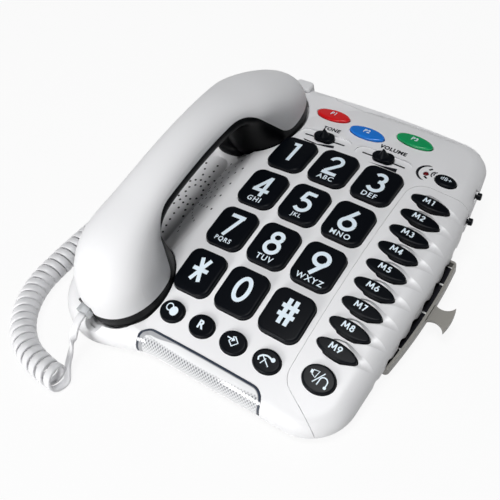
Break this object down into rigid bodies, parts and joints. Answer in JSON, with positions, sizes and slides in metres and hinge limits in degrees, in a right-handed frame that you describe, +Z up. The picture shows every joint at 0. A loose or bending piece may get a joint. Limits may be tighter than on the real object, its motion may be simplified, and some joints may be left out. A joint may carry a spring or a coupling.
{
  "type": "corded desk telephone",
  "caption": "Corded desk telephone with large number keys, memory keys, slide controls, an index drawer and a handset in its cradle on a curly cord",
  "frame": {"origin": "centre of the telephone's footprint without its cord, on the desk under the rubber feet", "axes": "+X to the user's right, +Y to the back, +Z up"},
  "size_m": [0.2522, 0.2777, 0.0979],
  "materials": {
    "white_casing": "moulded, glossy",
    "black_plastic": "moulded, glossy",
    "key_black": "moulded, glossy, printed legend",
    "key_red": "moulded, glossy",
    "key_blue": "moulded, glossy",
    "key_green": "moulded, glossy",
    "clear_lens": "clear moulding with a prism pattern inside",
    "clear_plug": "clear moulding",
    "red_light": "tinted clear",
    "board": "solder mask",
    "key_rubber": "matte",
    "speaker_metal": "plain",
    "socket_black": "moulded",
    "foot_rubber": "matte",
    "screw_steel": "zinc plated",
    "tray_grey": "moulded, satin",
    "card_white": "paper card",
    "cord_white": "smooth soft vinyl"
  },
  "bodies": {
    "base": {"top_housing": "white_casing", "bottom_housing": "white_casing", "memory_panel": "white_casing", "light_lens": "clear_lens", "rear_panel": "white_casing", "circuit_board": "board", "key_mat": "key_rubber", "loudspeaker": "speaker_metal", "leds": "red_light", "handset_socket": "socket_black", "line_socket": "socket_black", "rubber_feet": "foot_rubber", "case_screws": "screw_steel", "cord_plug_base": "clear_plug", "cord_lead": "cord_white", "cord_coil": "cord_white", "cord_tail": "cord_white"},
    "handset": {"handset_shell": "white_casing", "handset_base": "black_plastic", "receiver": "speaker_metal", "microphone": "speaker_metal", "handset_jack": "socket_black", "cord_plug_handset": "clear_plug"},
    "drawer": {"index_tray": "tray_grey", "index_card": "card_white"},
    "hook": {"hook_plunger": "white_casing"},
    "tone_control": {"tone_slider": "black_plastic"},
    "volume_control": {"volume_slider": "black_plastic"},
    "ringer_volume_switch": {"ringer_volume_knob": "black_plastic"},
    "ringer_tone_switch": {"ringer_tone_knob": "black_plastic"},
    "key_0_button": {"key_0": "key_black"},
    "key_1_button": {"key_1": "key_black"},
    "key_2_button": {"key_2": "key_black"},
    "key_3_button": {"key_3": "key_black"},
    "key_4_button": {"key_4": "key_black"},
    "key_5_button": {"key_5": "key_black"},
    "key_6_button": {"key_6": "key_black"},
    "key_7_button": {"key_7": "key_black"},
    "key_8_button": {"key_8": "key_black"},
    "key_9_button": {"key_9": "key_black"},
    "key_boost_button": {"key_boost": "key_black"},
    "key_flash_button": {"key_flash": "key_black"},
    "key_handsfree_button": {"key_handsfree": "key_black"},
    "key_hash_button": {"key_hash": "key_black"},
    "key_m1_button": {"key_m1": "key_black"},
    "key_m2_button": {"key_m2": "key_black"},
    "key_m3_button": {"key_m3": "key_black"},
    "key_m4_button": {"key_m4": "key_black"},
    "key_m5_button": {"key_m5": "key_black"},
    "key_m6_button": {"key_m6": "key_black"},
    "key_m7_button": {"key_m7": "key_black"},
    "key_m8_button": {"key_m8": "key_black"},
    "key_m9_button": {"key_m9": "key_black"},
    "key_mute_button": {"key_mute": "key_black"},
    "key_p1_button": {"key_p1": "key_red"},
    "key_p2_button": {"key_p2": "key_blue"},
    "key_p3_button": {"key_p3": "key_green"},
    "key_recall_button": {"key_recall": "key_black"},
    "key_redial_button": {"key_redial": "key_black"},
    "key_star_button": {"key_star": "key_black"}
  },
  "joints": [
    {"name": "handset_lift", "type": "slide", "parent": "base", "child": "handset", "axis": [0, -0.1392, 0.9903], "range_m": [0, 0.06]},
    {"name": "hook_travel", "type": "slide", "parent": "base", "child": "hook", "axis": [0, -0.1392, 0.9903], "range_m": [0, 0.006]},
    {"name": "drawer_slide", "type": "slide", "parent": "base", "child": "drawer", "axis": [1, 0, 0], "range_m": [-0.003, 0.052]},
    {"name": "tone_travel", "type": "slide", "parent": "base", "child": "tone_control", "axis": [1, 0, 0], "range_m": [-0.009, 0.009]},
    {"name": "volume_travel", "type": "slide", "parent": "base", "child": "volume_control", "axis": [1, 0, 0], "range_m": [-0.009, 0.009]},
    {"name": "ringer_volume_travel", "type": "slide", "parent": "base", "child": "ringer_volume_switch", "axis": [-0.1253, 0.9825, 0.1381], "range_m": [-0.0026, 0.0026]},
    {"name": "ringer_tone_travel", "type": "slide", "parent": "base", "child": "ringer_tone_switch", "axis": [-0.1253, 0.9825, 0.1381], "range_m": [-0.0026, 0.0026]},
    {"name": "key_0_press", "type": "slide", "parent": "base", "child": "key_0_button", "axis": [0, 0.1392, -0.9903], "range_m": [0, 0.002], "stiffness_N_per_m": 400, "springref_m": -0.0005},
    {"name": "key_1_press", "type": "slide", "parent": "base", "child": "key_1_button", "axis": [0, 0.1392, -0.9903], "range_m": [0, 0.002], "stiffness_N_per_m": 400, "springref_m": -0.0005},
    {"name": "key_2_press", "type": "slide", "parent": "base", "child": "key_2_button", "axis": [0, 0.1392, -0.9903], "range_m": [0, 0.002], "stiffness_N_per_m": 400, "springref_m": -0.0005},
    {"name": "key_3_press", "type": "slide", "parent": "base", "child": "key_3_button", "axis": [0, 0.1392, -0.9903], "range_m": [0, 0.002], "stiffness_N_per_m": 400, "springref_m": -0.0005},
    {"name": "key_4_press", "type": "slide", "parent": "base", "child": "key_4_button", "axis": [0, 0.1392, -0.9903], "range_m": [0, 0.002], "stiffness_N_per_m": 400, "springref_m": -0.0005},
    {"name": "key_5_press", "type": "slide", "parent": "base", "child": "key_5_button", "axis": [0, 0.1392, -0.9903], "range_m": [0, 0.002], "stiffness_N_per_m": 400, "springref_m": -0.0005},
    {"name": "key_6_press", "type": "slide", "parent": "base", "child": "key_6_button", "axis": [0, 0.1392, -0.9903], "range_m": [0, 0.002], "stiffness_N_per_m": 400, "springref_m": -0.0005},
    {"name": "key_7_press", "type": "slide", "parent": "base", "child": "key_7_button", "axis": [0, 0.1392, -0.9903], "range_m": [0, 0.002], "stiffness_N_per_m": 400, "springref_m": -0.0005},
    {"name": "key_8_press", "type": "slide", "parent": "base", "child": "key_8_button", "axis": [0, 0.1392, -0.9903], "range_m": [0, 0.002], "stiffness_N_per_m": 400, "springref_m": -0.0005},
    {"name": "key_9_press", "type": "slide", "parent": "base", "child": "key_9_button", "axis": [0, 0.1392, -0.9903], "range_m": [0, 0.002], "stiffness_N_per_m": 400, "springref_m": -0.0005},
    {"name": "key_boost_press", "type": "slide", "parent": "base", "child": "key_boost_button", "axis": [0, 0.1392, -0.9903], "range_m": [0, 0.002], "stiffness_N_per_m": 400, "springref_m": -0.0005},
    {"name": "key_flash_press", "type": "slide", "parent": "base", "child": "key_flash_button", "axis": [0, 0.1392, -0.9903], "range_m": [0, 0.002], "stiffness_N_per_m": 400, "springref_m": -0.0005},
    {"name": "key_handsfree_press", "type": "slide", "parent": "base", "child": "key_handsfree_button", "axis": [0, 0.1392, -0.9903], "range_m": [0, 0.002], "stiffness_N_per_m": 400, "springref_m": -0.0005},
    {"name": "key_hash_press", "type": "slide", "parent": "base", "child": "key_hash_button", "axis": [0, 0.1392, -0.9903], "range_m": [0, 0.002], "stiffness_N_per_m": 400, "springref_m": -0.0005},
    {"name": "key_m1_press", "type": "slide", "parent": "base", "child": "key_m1_button", "axis": [0, 0.1392, -0.9903], "range_m": [0, 0.002], "stiffness_N_per_m": 400, "springref_m": -0.0005},
    {"name": "key_m2_press", "type": "slide", "parent": "base", "child": "key_m2_button", "axis": [0, 0.1392, -0.9903], "range_m": [0, 0.002], "stiffness_N_per_m": 400, "springref_m": -0.0005},
    {"name": "key_m3_press", "type": "slide", "parent": "base", "child": "key_m3_button", "axis": [0, 0.1392, -0.9903], "range_m": [0, 0.002], "stiffness_N_per_m": 400, "springref_m": -0.0005},
    {"name": "key_m4_press", "type": "slide", "parent": "base", "child": "key_m4_button", "axis": [0, 0.1392, -0.9903], "range_m": [0, 0.002], "stiffness_N_per_m": 400, "springref_m": -0.0005},
    {"name": "key_m5_press", "type": "slide", "parent": "base", "child": "key_m5_button", "axis": [0, 0.1392, -0.9903], "range_m": [0, 0.002], "stiffness_N_per_m": 400, "springref_m": -0.0005},
    {"name": "key_m6_press", "type": "slide", "parent": "base", "child": "key_m6_button", "axis": [0, 0.1392, -0.9903], "range_m": [0, 0.002], "stiffness_N_per_m": 400, "springref_m": -0.0005},
    {"name": "key_m7_press", "type": "slide", "parent": "base", "child": "key_m7_button", "axis": [0, 0.1392, -0.9903], "range_m": [0, 0.002], "stiffness_N_per_m": 400, "springref_m": -0.0005},
    {"name": "key_m8_press", "type": "slide", "parent": "base", "child": "key_m8_button", "axis": [0, 0.1392, -0.9903], "range_m": [0, 0.002], "stiffness_N_per_m": 400, "springref_m": -0.0005},
    {"name": "key_m9_press", "type": "slide", "parent": "base", "child": "key_m9_button", "axis": [0, 0.1392, -0.9903], "range_m": [0, 0.002], "stiffness_N_per_m": 400, "springref_m": -0.0005},
    {"name": "key_mute_press", "type": "slide", "parent": "base", "child": "key_mute_button", "axis": [0, 0.1392, -0.9903], "range_m": [0, 0.002], "stiffness_N_per_m": 400, "springref_m": -0.0005},
    {"name": "key_p1_press", "type": "slide", "parent": "base", "child": "key_p1_button", "axis": [0, 0.1392, -0.9903], "range_m": [0, 0.002], "stiffness_N_per_m": 400, "springref_m": -0.0005},
    {"name": "key_p2_press", "type": "slide", "parent": "base", "child": "key_p2_button", "axis": [0, 0.1392, -0.9903], "range_m": [0, 0.002], "stiffness_N_per_m": 400, "springref_m": -0.0005},
    {"name": "key_p3_press", "type": "slide", "parent": "base", "child": "key_p3_button", "axis": [0, 0.1392, -0.9903], "range_m": [0, 0.002], "stiffness_N_per_m": 400, "springref_m": -0.0005},
    {"name": "key_recall_press", "type": "slide", "parent": "base", "child": "key_recall_button", "axis": [0, 0.1392, -0.9903], "range_m": [0, 0.002], "stiffness_N_per_m": 400, "springref_m": -0.0005},
    {"name": "key_redial_press", "type": "slide", "parent": "base", "child": "key_redial_button", "axis": [0, 0.1392, -0.9903], "range_m": [0, 0.002], "stiffness_N_per_m": 400, "springref_m": -0.0005},
    {"name": "key_star_press", "type": "slide", "parent": "base", "child": "key_star_button", "axis": [0, 0.1392, -0.9903], "range_m": [0, 0.002], "stiffness_N_per_m": 400, "springref_m": -0.0005}
  ],
  "couplings": [
    {"joint": "hook_travel", "follows": "handset_lift", "ratio": 0.1}
  ]
}
